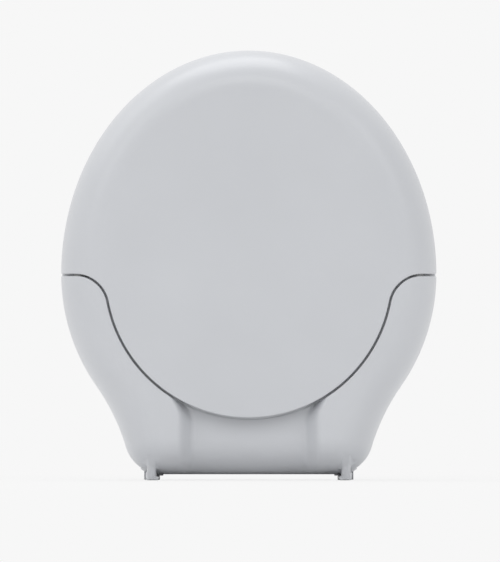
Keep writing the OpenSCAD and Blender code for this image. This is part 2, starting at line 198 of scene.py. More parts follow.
# %% [markdown]
# The lid's seam is level at the sides, dips through two hollow shoulders and runs round the
# tongue. One function says how far a point lies inside the lid, and one draws the seam moved
# by any amount, so lid and body share the line and keep an even gap.

# %% Seam between lid and body
SHOULDER_X = math.sqrt((TONGUE_R + SHOULDER_R) ** 2 - SHOULDER_R ** 2)
SHOULDER_Z = SEAM_Z - SHOULDER_R
TANGENT = math.degrees(math.atan2(SHOULDER_R, SHOULDER_X))


def into_lid(points):
    """Signed distance from the seam, positive on the lid's side."""
    x = np.abs(points[:, 0])
    z = points[:, 1]
    level = z - SEAM_Z
    shoulder = np.hypot(x - SHOULDER_X, z - SHOULDER_Z) - SHOULDER_R
    tongue = TONGUE_R - np.hypot(x, z - SEAM_Z)
    above = z - SEAM_Z > -x * math.tan(math.radians(TANGENT))
    return np.where(x >= SHOULDER_X, level, np.where(above, shoulder, tongue))


def seam_line(grow):
    """The seam moved down and outwards by grow, from beyond the left side to beyond the right."""
    left_c = (-SHOULDER_X, SHOULDER_Z)
    left, _ = arc(left_c, SHOULDER_R - grow, 90, TANGENT, 36)
    round_, _ = arc((0, SEAM_Z), TONGUE_R + grow, 180 + TANGENT, 360 - TANGENT, 150)
    right = left[::-1] * [-1, 1]
    far = HALF_W + 3
    flat_left = [[-x, SEAM_Z - grow] for x in np.linspace(far, SHOULDER_X, 24, endpoint=False)]
    return np.vstack([flat_left, left, round_, right, np.array(flat_left)[::-1] * [-1, 1]])


print("seam: shoulders at", round(SHOULDER_X, 2), "mm, tongue down to", round(SEAM_Z - TONGUE_R, 2))

# %% [markdown]
# Each shell is meshed in the front view first. Curves go in as fixed edges: rings that follow
# the rolled edge closely, and lines beside every cut. The triangulation keeps them, so the
# mesh is fine where the form turns and plain where it is flat.

# %% Meshing a front view
ROLL_STEPS = 26
ROUND_STEPS = [share * EDGE_ROUND for share in (0, 0.04, 0.14, 0.32, 0.58, 1.0, 1.8)]
ON_FACE = EDGE_RUN + 0.25


def roll_rings(extra=()):
    """Rings round the case, close together where the edge turns, and one on the flat face."""
    turns = np.radians(np.linspace(0, 90, ROLL_STEPS))
    inner = EDGE_RUN * (1 - np.cos(turns) ** (2 / EDGE_POWER))
    rings = [OUTLINE - d * OUTWARD for d in [*inner, ON_FACE, *extra]]
    return [np.vstack([ring, ring[:1]]) for ring in rings]


def level_line(z, short=-3.0):
    """A level line across the case; short is how far inside the outline it stops."""
    right = OUTLINE[:len(OUTLINE) // 2 + 1]
    far = np.interp(z, right[::-1, 1], right[::-1, 0]) - short
    x = np.r_[np.linspace(-far, -16, 40), np.linspace(-14, 14, 15), np.linspace(16, far, 40)]
    return np.c_[x, np.full(len(x), z)]


def triangulate(curves, keep):
    """Triangles of the front view that lie where keep says, with the curves as edges."""
    points, edges = [], []
    for curve in curves:
        base = len(points)
        points += [Vector(p) for p in curve]
        edges += [(base + i, base + i + 1) for i in range(len(curve) - 1)]
    verts, _, faces, *_ = delaunay_2d_cdt(points, edges, [], 0, 1e-5)
    flat = np.array([tuple(v) for v in verts])
    tris = np.array([f for f in faces if len(f) == 3])
    middle = flat[tris].mean(1)
    _, d = nearest_on_outline(middle)
    tris = tris[(d > 0) & (keep(middle, d) > 0)]
    a, b, c = (flat[tris[:, i]] for i in range(3))
    area = (b - a)[:, 0] * (c - a)[:, 1] - (b - a)[:, 1] * (c - a)[:, 0]
    tris = np.where((area > 0)[:, None], tris, tris[:, ::-1])
    used = np.unique(tris)
    renumber = np.full(len(flat), -1)
    renumber[used] = np.arange(len(used))
    return flat[used], renumber[tris]

# %% [markdown]
# The flat mesh is lifted to the surface and its rim is rounded over. The same triangles,
# turned inside out on the inside of the wall, close it to a solid shell.

# %% Shell maker
def rounded_over(outer, normals, edge_distance):
    """Sinks the points beside an edge below the surface, along a quarter circle."""
    t = np.clip(edge_distance, 0, EDGE_ROUND)
    sink = EDGE_ROUND - np.sqrt(np.clip(EDGE_ROUND ** 2 - (EDGE_ROUND - t) ** 2, 0, None))
    return outer - normals * sink[:, None]


def sheet(curves, inside, side):
    """One sheet of a shell: the front view where inside is positive, lifted, its rim rounded."""
    flat, tris = triangulate(curves, inside)
    outer, normals = lift(flat, side)
    outer = rounded_over(outer, normals, inside(flat, nearest_on_outline(flat)[1]))
    return outer, lift(flat, side, WALL)[0], tris, side


def add_object(name, data):
    """An object for the data, linked to the scene."""
    thing = bpy.data.objects.new(name, data)
    bpy.context.scene.collection.objects.link(thing)
    return thing


def placed(name, bm):
    """An object from mesh data in case millimetres, moved into the frame."""
    mesh = bpy.data.meshes.new(name)
    bm.to_mesh(mesh)
    bm.free()
    mesh.transform(TO_FRAME)
    return add_object(name, mesh)


def shell(name, sheets):
    """A closed shell from sheets of (outer points, inner points, triangles, side)."""
    bm = bmesh.new()
    for outer, inner, tris, side in sheets:
        tops = [bm.verts.new(p) for p in outer]
        unders = [bm.verts.new(p) for p in inner]
        for tri in tris:
            order = tri if side < 0 else tri[::-1]
            bm.faces.new([tops[i] for i in order])
            bm.faces.new([unders[i] for i in order[::-1]])
        pairs = dict(zip(tops, unders))
        for edge in [e for e in bm.edges if e.is_boundary and e.verts[0] in pairs]:
            a, b = edge.verts
            if b not in pairs:
                continue
            loop = edge.link_loops[0]
            first, second = loop.vert, loop.link_loop_next.vert
            on_mid_plane = abs(a.co.y) < ON_OUTLINE and abs(b.co.y) < ON_OUTLINE
            if not on_mid_plane:
                bm.faces.new([second, first, pairs[first], pairs[second]])
    bmesh.ops.remove_doubles(bm, verts=bm.verts, dist=2e-5)
    bmesh.ops.dissolve_degenerate(bm, dist=1e-6, edges=bm.edges)
    print(name, "faces:", len(bm.faces), "open edges:", sum(e.is_boundary for e in bm.edges))
    return placed(name, bm)

# %% [markdown]
# The lid is one shell. Its front sheet is everything above the seam and the tongue, and its
# back sheet stops at the level seam. Front and back meet along the outline without a line.

# %% Lid shell
def lid_sheets():
    """Front sheet above the seam and the tongue, and back sheet above the level seam."""
    above = SEAM_Z + SEAM_GAP / 2
    cuts = [seam_line(-SEAM_GAP / 2 - t) for t in ROUND_STEPS]
    levels = [level_line(above + t) for t in ROUND_STEPS]
    return [sheet(roll_rings() + cuts, lambda p, d: into_lid(p) - SEAM_GAP / 2, -1),
            sheet(roll_rings() + levels, lambda p, d: p[:, 1] - above, 1)]


lid_shell = shell("lid_shell", lid_sheets())

# %% [markdown]
# The body's front sheet is what the lid leaves. The thumb recess is pressed into it: the front
# is moved towards the middle by a share that fades at two soft S-shaped sides, so its floor
# follows the rolled base. The sides flare out where they meet the tongue. It is deeper than
# the pocket behind the tongue, which lets a fingertip reach under the tongue and lift it.

# %% Body shell
RECESS_WALL = 0.5


def recess_share(points):
    """0 on the face, 1 on the recess floor, with a soft S between that flares out at the tongue."""
    near_tongue = np.clip(1 + into_lid(points) / FLARE_REACH, 0, 1)
    reach = RECESS_W / 2 + RECESS_SIDE / 2 + RECESS_FLARE * near_tongue ** 2
    u = np.clip((reach - np.abs(points[:, 0])) / RECESS_SIDE, 0, 1)
    return (1 - np.cos(np.pi * u)) / 2


def press_recess(outer, inner):
    """Moves the front surface back to the recess floor, and the inside of its wall clear of it."""
    share = recess_share(outer[:, [0, 2]])
    outer, inner = outer.copy(), inner.copy()
    outer[:, 1] *= 1 - share * RECESS_DEPTH / HALF_T
    room = np.clip(outer[:, 1] + RECESS_WALL - inner[:, 1], 0, None)
    inner[:, 1] += room * share * np.clip(-inner[:, 1], 0, 1)
    return outer, inner


def recess_lines():
    """Upright lines over the recess's soft sides, for the triangulation to keep."""
    first = RECESS_W / 2 - RECESS_SIDE / 2
    last = RECESS_W / 2 + RECESS_SIDE / 2 + RECESS_FLARE
    heights = np.linspace(FOOT_H + 0.6, RECESS_LIMIT, 40)
    return [np.c_[np.full(len(heights), sign * x), heights]
            for x in np.linspace(first, last, 20) for sign in (-1, 1)]


def body_front():
    """Front sheet: what lies outside the lid. Its rim stays sharp where the recess runs under it."""
    cuts = [seam_line(SEAM_GAP / 2 + t) for t in ROUND_STEPS]
    flat, tris = triangulate(roll_rings() + cuts + recess_lines(), lambda p, d: -into_lid(p) - SEAM_GAP / 2)
    outer, normals = lift(flat, -1)
    rounded = rounded_over(outer, normals, -into_lid(flat) - SEAM_GAP / 2)
    sharp = recess_share(flat)[:, None] * (flat[:, 1:] < RECESS_LIMIT)
    outer = np.where(sharp > 0, outer * sharp + rounded * (1 - sharp), rounded)
    inner = lift(flat, -1, lambda depth_share: WALL + 0.4 * depth_share ** 2)[0]
    return (*press_recess(outer, inner), tris, -1)


def body_back():
    """Back sheet: the sides behind the parting plane of the door, and the header strip above it."""
    open_back = COVER_Y - COVER_GAP / 2
    header = COVER_TOP_Z + COVER_GAP
    top = SEAM_Z - SEAM_GAP / 2
    rings = [roll_distance(open_back - t) for t in ROUND_STEPS]
    levels = [level_line(header + t, 0.1) for t in ROUND_STEPS]
    levels += [level_line(top - t) for t in ROUND_STEPS]

    def inside(p, d):
        kept = np.maximum(open_back - roll_depth(d), p[:, 1] - header)
        return np.minimum(kept, top - p[:, 1])

    return sheet(roll_rings(rings) + levels, inside, 1)


body_shell = shell("body_shell", [body_front(), body_back()])

# %% [markdown]
# The rear door is the back sheet alone, below the header strip. A real door of this kind is a
# shallow dish, so it is the same lifted shell, cut where the parting plane meets the rolled
# edge.

# %% Rear cover shell
NOTCH_L = 9.0
NOTCH_D = 0.7
NOTCH_R = 2.2
NOTCH_END = 0.7


def press_scallop(outer):
    """Moves the top edge in for a fingernail, along a cylinder that lies in the edge."""
    from_top = np.clip(np.abs(outer[:, 2] - COVER_TOP_Z), 0, NOTCH_R)
    deep = np.clip(np.sqrt(NOTCH_R ** 2 - from_top ** 2) - NOTCH_R + NOTCH_D, 0, None)
    end = np.clip((NOTCH_L / 2 + NOTCH_END / 2 - np.abs(outer[:, 0])) / NOTCH_END, 0, 1)
    pressed = outer.copy()
    pressed[:, 1] -= deep * end * end * (3 - 2 * end)
    return pressed


def cover_sheet():
    """The back below the header strip, with close points along the scallop."""
    front_edge = COVER_Y + COVER_GAP / 2
    rings = [roll_distance(front_edge + t) for t in ROUND_STEPS]
    levels = [level_line(COVER_TOP_Z - t, 0.1) for t in ROUND_STEPS]
    across = np.r_[-5.2:-3.8:11j, -3.2:3.2:9j, 3.8:5.2:11j]
    levels += [np.c_[across, np.full(len(across), COVER_TOP_Z - drop)]
               for drop in np.linspace(0.35, 1.75, 9)]

    def inside(p, d):
        return np.minimum(roll_depth(d) - front_edge, COVER_TOP_Z - p[:, 1])

    outer, *rest = sheet(roll_rings(rings) + levels, inside, 1)
    return (press_scallop(outer), *rest)


cover_shell = shell("cover_shell", [cover_sheet()])

# %% [markdown]
# The small moulded features are turned or extruded. A turned piece is a rounded profile swept
# round its axis, and an extruded one is a rounded outline pushed through and bevelled, which
# is how the real pins, bosses and lugs leave their moulds.

# %% Small solids
TURN_SEGMENTS = 64


def soften(points, radius, steps):
    """Rounds the corners of a closed 2-D outline."""
    points = [np.array(p, float) for p in points]
    rounded = []
    for before, corner, after in zip(points[-1:] + points[:-1], points, points[1:] + points[:1]):
        back, ahead = before - corner, after - corner
        reach = min(radius, 0.45 * np.linalg.norm(back), 0.45 * np.linalg.norm(ahead))
        start = corner + back / np.linalg.norm(back) * reach
        stop = corner + ahead / np.linalg.norm(ahead) * reach
        for u in np.linspace(0, 1, steps + 1):
            rounded.append((1 - u) ** 2 * start + 2 * u * (1 - u) * corner + u * u * stop)
    return rounded


def to_object(name, bm):
    """Cleans mesh data, turns its faces outwards and makes an object of it."""
    bmesh.ops.remove_doubles(bm, verts=bm.verts, dist=1e-5)
    bmesh.ops.recalc_face_normals(bm, faces=bm.faces)
    return placed(name, bm)


def skin(bm, rings, closed=False):
    """Faces between each ring of vertices and the next, and back to the first if closed."""
    for ring, after in zip(rings, rings[1:] + rings[:1] if closed else rings[1:]):
        for i in range(len(ring)):
            j = (i + 1) % len(ring)
            bm.faces.new([ring[i], ring[j], after[j], after[i]])


def turned(name, profile, centre, axis):
    """A profile of (radius, length) swept round an axis through centre; it closes on itself
    unless it starts and ends on the axis."""
    turn_to = Vector((0, 0, 1)).rotation_difference(Vector(axis)).to_matrix()
    turns = [2 * math.pi * i / TURN_SEGMENTS for i in range(TURN_SEGMENTS)]
    bm = bmesh.new()
    rings = [[bm.verts.new(turn_to @ Vector((r * math.cos(a), r * math.sin(a), h)) + Vector(centre))
              for a in turns] for r, h in profile]
    ends_on_axis = profile[0][0] == 0 and profile[-1][0] == 0
    skin(bm, rings, closed=not ends_on_axis)
    bmesh.ops.remove_doubles(bm, verts=bm.verts, dist=1e-4)
    bmesh.ops.dissolve_degenerate(bm, dist=1e-4, edges=bm.edges)
    return to_object(name, bm)


def rounded_bar(name, radius, length, centre, axis, bore=0.0, round_=0.12):
    """A round bar or tube with softly rounded ends."""
    half = length / 2
    if bore > 0:
        profile = soften([(bore, -half), (radius, -half), (radius, half), (bore, half)], round_, 3)
    else:
        side = soften([(-radius, -half), (radius, -half), (radius, half), (-radius, half)], round_, 3)
        profile = [(0.0, -half), *[p for p in side if p[0] > 0], (0.0, half)]
    return turned(name, profile, centre, axis)


def extruded(name, outline, plane, start, stop, bevel):
    """An outline pushed from start to stop along the axis that the plane leaves out."""
    place = {"YZ": lambda a, b, t: (t, a, b), "XZ": lambda a, b, t: (a, t, b),
             "XY": lambda a, b, t: (a, b, t)}[plane]
    bm = bmesh.new()
    first = [bm.verts.new(place(a, b, start)) for a, b in outline]
    last = [bm.verts.new(place(a, b, stop)) for a, b in outline]
    bm.faces.new(first)
    bm.faces.new(last[::-1])
    skin(bm, [last, first])
    bmesh.ops.recalc_face_normals(bm, faces=bm.faces)
    rims = [e for e in bm.edges if all(v in first for v in e.verts) or all(v in last for v in e.verts)]
    bmesh.ops.bevel(bm, geom=rims, offset=bevel, segments=3, profile=0.5, affect="EDGES")
    return to_object(name, bm)

# %% [markdown]
# Bores and hinge rooms are cut with booleans, as a drill or a core in the mould would form
# them. What is one moulding is then joined into one object.

# %% Cutting and joining
SLIVER_SIDES = 8


def cut_away(piece, cutter):
    """Cuts one solid from another, removes the cutter and closes slivers that the cut leaves."""
    bpy.context.view_layer.objects.active = piece
    cut = piece.modifiers.new("cut", "BOOLEAN")
    cut.operation = "DIFFERENCE"
    cut.solver = "EXACT"
    cut.object = cutter
    bpy.ops.object.modifier_apply(modifier=cut.name)
    bpy.data.objects.remove(cutter, do_unlink=True)
    bm = bmesh.new()
    bm.from_mesh(piece.data)
    bmesh.ops.holes_fill(bm, edges=[e for e in bm.edges if e.is_boundary], sides=SLIVER_SIDES)
    bm.to_mesh(piece.data)
    bm.free()


def joined(name, pieces):
    """Several solids as one object, the pieces of one moulding."""
    with bpy.context.temp_override(active_object=pieces[0], selected_editable_objects=pieces):
        bpy.ops.object.join()
    pieces[0].name = name
    pieces[0].data.name = name
    return pieces[0]

# %% [markdown]
# The lid carries the middle knuckle of its hinge and, behind the tip of the tongue, the small
# bead that snaps into the body. The knuckle is sunk into the lid's lower edge at the back, and
# room is cut beside it for the body's two knuckles.

# %% Lid
BARREL_R = 1.25
BARREL_Y = HALF_T + 0.25
BARREL_L = 24.0
LID_KNUCKLE_L = 14.0
KNUCKLE_GAP = 0.12
KNUCKLE_ROOM = 0.15
ROOM_L = 6.0
PIN_D = 1.0
PIN_CLEAR = 0.05
BEAD_R = 0.42
BEAD_ROUND = 0.4
BEAD_L = 10.0
BEAD_Z = SEAM_Z - TONGUE_R + 2.6
ALONG_X = (1, 0, 0)


def make_lid():
    for side in (-1, 1):
        centre = (side * (LID_KNUCKLE_L / 2 - KNUCKLE_GAP + ROOM_L / 2), BARREL_Y, SEAM_Z)
        cut_away(lid_shell, rounded_bar("room", BARREL_R + KNUCKLE_ROOM, ROOM_L, centre, ALONG_X))
    knuckle = rounded_bar("knuckle", BARREL_R, LID_KNUCKLE_L - 2 * KNUCKLE_GAP, (0, BARREL_Y, SEAM_Z),
                          ALONG_X, PIN_D / 2 + PIN_CLEAR)
    bead = rounded_bar("bead", BEAD_R, BEAD_L, (0, -HALF_T + WALL, BEAD_Z), ALONG_X, round_=BEAD_ROUND)
    return joined("lid_dome", [lid_shell, knuckle, bead])


def dress(piece, body, node):
    """The piece rides on its body and stands for its CAD node."""
    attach(piece, body)
    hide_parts(node)
    print(piece.name, "faces:", len(piece.data.polygons))


lid_dome = make_lid()
dress(lid_dome, "lid", "lid")

# %% [markdown]
# The body carries everything that stands still. Behind the lid's tongue a flat plate closes
# the case. It is a sheet like the shells, pressed back behind the recess, and reaches into the
# wall all round. The post that the spool turns on grows out of it.

# %% Plate and post of the body
SPOOL_Z = 14.05
SPOOL_BACK = 4.35
POST_R = 2.25
INTO_WALL = 1.2
ALONG_Y = (0, 1, 0)


def wall_depth(d, inset):
    """Depth of the wall drawn in by inset, at true distance d from the outline."""
    w = np.clip(1 - (d - inset) / (EDGE_RUN - inset), 0, 1)
    return (HALF_T - inset) * (1 - w ** EDGE_POWER) ** (1 / EDGE_POWER)


def front_plate():
    """The wall behind the tongue and behind the thumb recess, let into the front wall."""
    half, high = (RECESS_W + RECESS_SIDE) / 2 + INTO_WALL, RECESS_TOP + INTO_WALL
    box = np.array([[-half, 0], [-half, high], [half, high], [half, 0]])
    across = np.linspace(-half, half, 90)
    steps = [np.c_[across, np.full(90, z)] for z in np.r_[6:RECESS_TOP:6j, RECESS_TOP + 0.05]]
    top = SEAM_Z - SEAM_GAP

    def inside(p, d):
        pocket = into_lid(p) + SEAM_GAP / 2 + INTO_WALL
        recess = np.minimum(half - np.abs(p[:, 0]), high - p[:, 1])
        deep = wall_depth(d, WALL / 2) + PLATE_BACK - 0.05
        return np.minimum(np.minimum(np.maximum(pocket, recess), deep), top - p[:, 1])

    pocket_line = seam_line(SEAM_GAP / 2 + INTO_WALL)
    curves = [*roll_rings([1.6, 2.2]), *steps, pocket_line, box, level_line(top, 0.5)]
    flat, tris = triangulate(curves, inside)
    d = nearest_on_outline(flat)[1]
    outside = -into_lid(flat)
    share = recess_share(flat) * ((flat[:, 1] <= RECESS_TOP + 1e-4) | (outside > 0))
    # Under the body's own front the plate dives a little deeper, so it never shows through.
    behind = 0.05 + 0.3 * np.clip(outside - SEAM_GAP, 0, 1)
    recess_y = behind - roll_depth(d) * (1 - share * RECESS_DEPTH / HALF_T)
    front_y = np.maximum(np.maximum(POCKET_Y, recess_y), -wall_depth(d, WALL / 2))
    front = np.c_[flat[:, 0], front_y, flat[:, 1]]
    back = np.c_[flat[:, 0], np.maximum(PLATE_BACK, front_y + 0.2), flat[:, 1]]
    return shell("front_plate", [(front, back, tris, -1)])


def spool_post():
    """Boss, shaft and snap head of the spool's post, in one turned profile."""
    foot, boss = PLATE_BACK - 0.3, PLATE_BACK + 0.4
    top, head = SPOOL_BACK + 0.1, SPOOL_BACK + 1.0
    near_axis = 0.01
    side = soften([(near_axis, foot), (POST_R + 1, foot), (POST_R + 1, boss), (POST_R, boss), (POST_R, top),
                   (POST_R + 0.2, top), (POST_R - 0.4, head), (near_axis, head)], 0.12, 3)
    return turned("post", [(0.0, foot), *[p for p in side if p[0] > 2 * near_axis], (0.0, head)],
                  (0, 0, SPOOL_Z), ALONG_Y)

# %% [markdown]
# Two narrow lugs under the base carry the hinge pins of the rear door, and their flat
# undersides are what the case stands on. The front of a lug runs up into the rolled base with
# a fillet. Blending two height fields draws such a fillet exactly, where a boolean and a bevel
# would leave a crease. Behind the front, the lug is a plain bar with a round knuckle.

# %% Lugs
LUG_X = 12.9
LUG_R = 0.8
STEM_W = 1.0
LUG_WALL_Z = 1.79
COVER_PIN_D = 0.7
PIN_SEAT = 0.02
FOOT_FRONT = -5.2
LUG_BACK = 2.4
STEEP = 50


def rounded_block(u, z, left, right, top, front, radius=0.18, slope=STEEP):
    """Depths of a small block with rounded edges, and of sides with the given slope beyond it."""
    beside = np.clip(np.abs(u - (left + right) / 2) - (right - left) / 2 + radius, 0, None)
    above = np.clip(z - top + radius, 0, None) + np.clip(1 - z / 0.15, 0, None) * radius
    q = np.hypot(beside, above)
    rounded = radius - np.sqrt(np.clip(radius ** 2 - q ** 2, 0, None))
    return front + rounded + slope * np.clip(q - radius, 0, None)


def smooth_minimum(a, b, blend):
    """The smaller of two depths, with a fillet about as wide as blend where they meet."""
    h = np.clip(blend - np.abs(a - b), 0, None) / blend
    return np.minimum(a, b) - h ** 2 * blend / 4


def lug_front(side):
    """The front of a lug, drawn as depths over its front view, so that it flows out of the base."""
    columns, rows = 60, 66
    u, z = [grid.ravel() for grid in np.meshgrid(np.linspace(-1.5, 1.5, columns + 1),
                                                 np.linspace(0, 3.3, rows + 1))]
    flat = np.c_[side * (LUG_X + u), z]
    d = nearest_on_outline(flat)[1]
    base = np.where(d > 0, -roll_depth(d), -14 * d)
    # The upright's foot runs out gently on the base, and steeply where it would pass the outline.
    spread = np.interp(d, [0.2, 0.7], [STEEP, 2.5])
    upright = rounded_block(u, z, -0.55, 0.55, 4.0, -6.25 + 0.45 * (2.3 - z), 0.4, spread)
    outer_foot = rounded_block(u, z, 0.2, 0.68, 1.05, FOOT_FRONT)
    inner_foot = rounded_block(u, z, -0.84, -0.2, 0.55, FOOT_FRONT)
    lug = smooth_minimum(upright, np.minimum(outer_foot, inner_foot), 0.15)
    front = np.minimum(smooth_minimum(base, lug, 1.1) + 0.02, LUG_BACK)
    back = np.where(d > WALL + 0.05, np.maximum(front + 0.05, -wall_depth(d, WALL) - 0.1), LUG_BACK)
    next_row = columns + 1
    first = np.array([r * next_row + c for r in range(rows) for c in range(columns)])
    tris = np.vstack([np.c_[first, first + 1, first + next_row + 1],
                      np.c_[first, first + next_row + 1, first + next_row]])
    tris = tris[front[tris].min(1) < LUG_BACK - 0.1]
    if side < 0:
        tris = tris[:, ::-1]
    used, tris = np.unique(tris, return_inverse=True)
    outer = np.c_[flat[used, 0], front[used], z[used]]
    inner = np.c_[flat[used, 0], back[used], z[used]]
    return shell("lug_front", [(outer, inner, tris.reshape(-1, 3), -1)])


def eye(start, stop, count):
    """Arc of the door's hinge eye, as seen from the side."""
    return [(COVER_Y + LUG_R * math.cos(a), LUG_R + LUG_R * math.sin(a))
            for a in np.radians(np.linspace(start, stop, count))]


def lug_bar(side):
    """The rest of the lug: a bar back to its hinge knuckle, drawn from the side and pushed through."""
    x, front = side * LUG_X, FOOT_FRONT + 0.7
    outline = [(front, 0.0), *eye(-90, 90, 16), (COVER_Y, LUG_WALL_Z), (front, LUG_WALL_Z)]
    bar = extruded("stem", outline, "YZ", x - STEM_W / 2, x + STEM_W / 2, 0.06)
    pin = (x, COVER_Y, LUG_R)
    cut_away(bar, rounded_bar("bore", COVER_PIN_D / 2 + PIN_SEAT, STEM_W + 1, pin, ALONG_X))
    return bar

# %% [markdown]
# Two ribs at each side stop the deck, and a low lip in the middle of each side centres the
# lid. With two hinge knuckles at the back they complete the body, which is one moulding.

# %% Body
DECK_BOTTOM = 25.6
RIB_PLACES = (-3.5, 1.0)


def rib(side, y):
    """Upright rib on the side wall that the deck rests on."""
    x_in, x_out = HALF_W - WALL - 2.4, HALF_W - WALL + 0.1
    outline = soften([(x_in, SPOOL_Z + 3), (x_out - 2.2, SPOOL_Z + 3), (x_out, SPOOL_Z + 8),
                      (x_out, DECK_BOTTOM - 0.05), (x_in, DECK_BOTTOM - 0.05)], 0.1, 2)
    return extruded("rib", [(side * x, z) for x, z in outline], "XZ", y - WALL / 2, y + WALL / 2, 0.06)


def rim_lip(side):
    """Low lip in the rim of the body, in the middle of each side, that the lid closes on."""
    turns = np.radians(np.linspace(-30, 30, 32))
    c, s = np.abs(np.cos(turns)), np.sin(turns)

    def section(inset):
        x = HALF_W - inset - (EDGE_RUN - inset) * (1 - c ** (2 / EDGE_POWER))
        y = (HALF_T - inset) * np.sign(s) * np.abs(s) ** (2 / EDGE_POWER)
        return [*zip(side * x, y)]

    outline = section(0.1 + 2.6 * np.abs(s)) + section(WALL + 0.6)[::-1]
    return extruded("lip", outline, "XY", SEAM_Z - 0.3, SEAM_Z + SEAM_GAP / 2 - 0.01, 0.02)


def make_body():
    room = rounded_bar("room", BARREL_R + KNUCKLE_ROOM, LID_KNUCKLE_L, (0, BARREL_Y, SEAM_Z), ALONG_X)
    cut_away(body_shell, room)
    length = (BARREL_L - LID_KNUCKLE_L) / 2 - KNUCKLE_GAP
    pieces = [body_shell, front_plate(), spool_post()]
    for side in (-1, 1):
        centre = (side * (BARREL_L - length) / 2, BARREL_Y, SEAM_Z)
        pieces += [rounded_bar("knuckle", BARREL_R, length, centre, ALONG_X, PIN_D / 2 + PIN_SEAT)]
        pieces += [lug_bar(side), lug_front(side), *[rib(side, y) for y in RIB_PLACES], rim_lip(side)]
    return joined("case_body", pieces)


case_body = make_body()
dress(case_body, "case", "body")

# %% [markdown]
# The rear door turns on two pairs of thin ears that straddle the lugs. Inside it a round
# collar faces the spool and keeps it on its post, and a shallow scallop in the top edge takes
# a fingernail.

# %% Rear cover
EAR_W = 0.5
EAR_GAP = 0.05
SWEEP_R = LUG_R + 0.15
RING_R = POST_R + 1.7


def ear(x):
    """One hinge ear, from its round eye up into the door's wall."""
    root = LUG_WALL_Z - LUG_R
    arm = [(0.9, -0.5), (2.4, root + 0.5), (1.2, root + 0.3), (0.1, root)]
    outline = eye(90, 300, 20) + [(COVER_Y + y, LUG_R + z) for y, z in arm]
    plate = extruded("ear", outline, "YZ", x - EAR_W / 2, x + EAR_W / 2, 0.05)
    cut_away(plate, rounded_bar("bore", COVER_PIN_D / 2 + EAR_GAP, 2, (x, COVER_Y, LUG_R), ALONG_X))
    return plate


def make_cover():
    for side in (-1, 1):
        slot = rounded_bar("slot", SWEEP_R, STEM_W + 2 * EAR_GAP, (side * LUG_X, COVER_Y, LUG_R), ALONG_X,
                           round_=0.05)
        cut_away(cover_shell, slot)
    y0, y1 = SPOOL_BACK + 0.25, HALF_T - WALL + 0.2
    profile = soften([(RING_R - 1, y0), (RING_R, y0), (RING_R, y1), (RING_R - 1, y1)], 0.15, 3)
    pieces = [cover_shell, turned("collar", profile, (0, 0, SPOOL_Z), ALONG_Y)]
    offset = STEM_W / 2 + EAR_GAP + EAR_W / 2
    pieces += [ear(side * LUG_X + way * offset) for side in (-1, 1) for way in (-1, 1)]
    return joined("rear_door", pieces)


rear_door = make_cover()
dress(rear_door, "rear_cover", "rear_cover")

# %% [markdown]
# The floss is wound on the spool in close turns. The winding is one turned form whose surface
# carries the turns as real ridges in a slow spiral, a little coarser than real floss so that
# they still show.

# %% Floss on the spool
HUB_R = 4.4
WINDING_R = 9.5
WINDING_FRONT = -4.3
WINDING_BACK = 3.4
TURN_PITCH = 0.55
RIDGE_H = 0.07
LAYER_H = 0.05
WINDING_ROUND = 0.5


def wound_floss():
    """A ring of floss with rounded shoulders, the ridges of its turns and two crossing layers."""
    around, across = 180, 126
    angles = np.linspace(0, 2 * np.pi, around, endpoint=False)
    width = WINDING_BACK - WINDING_FRONT
    bm = bmesh.new()

    def ring(radii, y):
        return [bm.verts.new((r * math.cos(a), y, SPOOL_Z + r * math.sin(a)))
                for r, a in zip(radii, angles)]

    hub = np.full(around, HUB_R + 0.05)
    rings = [ring(hub, WINDING_FRONT)]
    for k in range(across + 1):
        h = width * k / across
        from_end = min(h, width - h)
        sunk = WINDING_ROUND - min(WINDING_ROUND, from_end)
        shoulder = WINDING_ROUND - math.sqrt(max(0.0, WINDING_ROUND ** 2 - sunk ** 2))
        phase = 2 * np.pi * h / TURN_PITCH + angles
        ridge = RIDGE_H * (1 - np.abs(np.cos(phase / 2))) * min(1.0, from_end / 0.4)
        layer = LAYER_H * (1 - np.sin(2 * np.pi * h / width + 2 * angles) ** 2)
        rings.append(ring(WINDING_R - shoulder - ridge - layer, WINDING_FRONT + h))
    rings.append(ring(hub, WINDING_BACK))
    skin(bm, rings, closed=True)
    return to_object("floss_turns", bm)


floss_turns = wound_floss()
dress(floss_turns, "spool", "floss_winding")

# %% [markdown]
# From the winding the floss runs up through the nozzle, bends over its lip and is held under
# the cutter's tooth. The free strand is a real twist of three plies, each a thin tube that
# winds round the route of the CAD strand. Its lower end sinks into the winding.

# %% Free strand
ROUTE = [(-8.9, 11.2), (-9.32, 12.2), (-9.65, 13.1), *[(-9.8, 14 + 1.5 * i) for i in range(11)],
         (-9.8, 30.2), (-9.75, 30.8), (-9.5, 31.3), (-9.05, 31.6), (-8.5, 31.7),
         *[(-7.2 + 1.4 * i, 31.65 - 0.1 * i) for i in range(9)],
         (5.2, 30.8), (6.4, 30.8), (7.6, 30.8), (8.8, 30.8), (10, 30.8), (11, 30.75)]
ROUTE_STEP = 0.12
PLY_R = 0.13
PLY_OFFSET = 0.112
TWIST_PITCH = 1.6


def smooth_route():
    """The route resampled at even steps on a curve through its points."""
    points = np.array([ROUTE[0], *ROUTE, ROUTE[-1]], float)
    fine = []
    for a, b, c, d in zip(points, points[1:], points[2:], points[3:]):
        for u in np.linspace(0, 1, 12, endpoint=False):
            fine.append(0.5 * (2 * b + (c - a) * u + (2 * a - 5 * b + 4 * c - d) * u ** 2
                               + (3 * b - a - 3 * c + d) * u ** 3))
    fine = np.array(fine + [points[-1]])
    along = np.r_[0, np.cumsum(np.linalg.norm(np.diff(fine, axis=0), axis=1))]
    at = np.linspace(0, along[-1], int(along[-1] / ROUTE_STEP))
    return np.c_[np.interp(at, along, fine[:, 0]), np.interp(at, along, fine[:, 1])], at


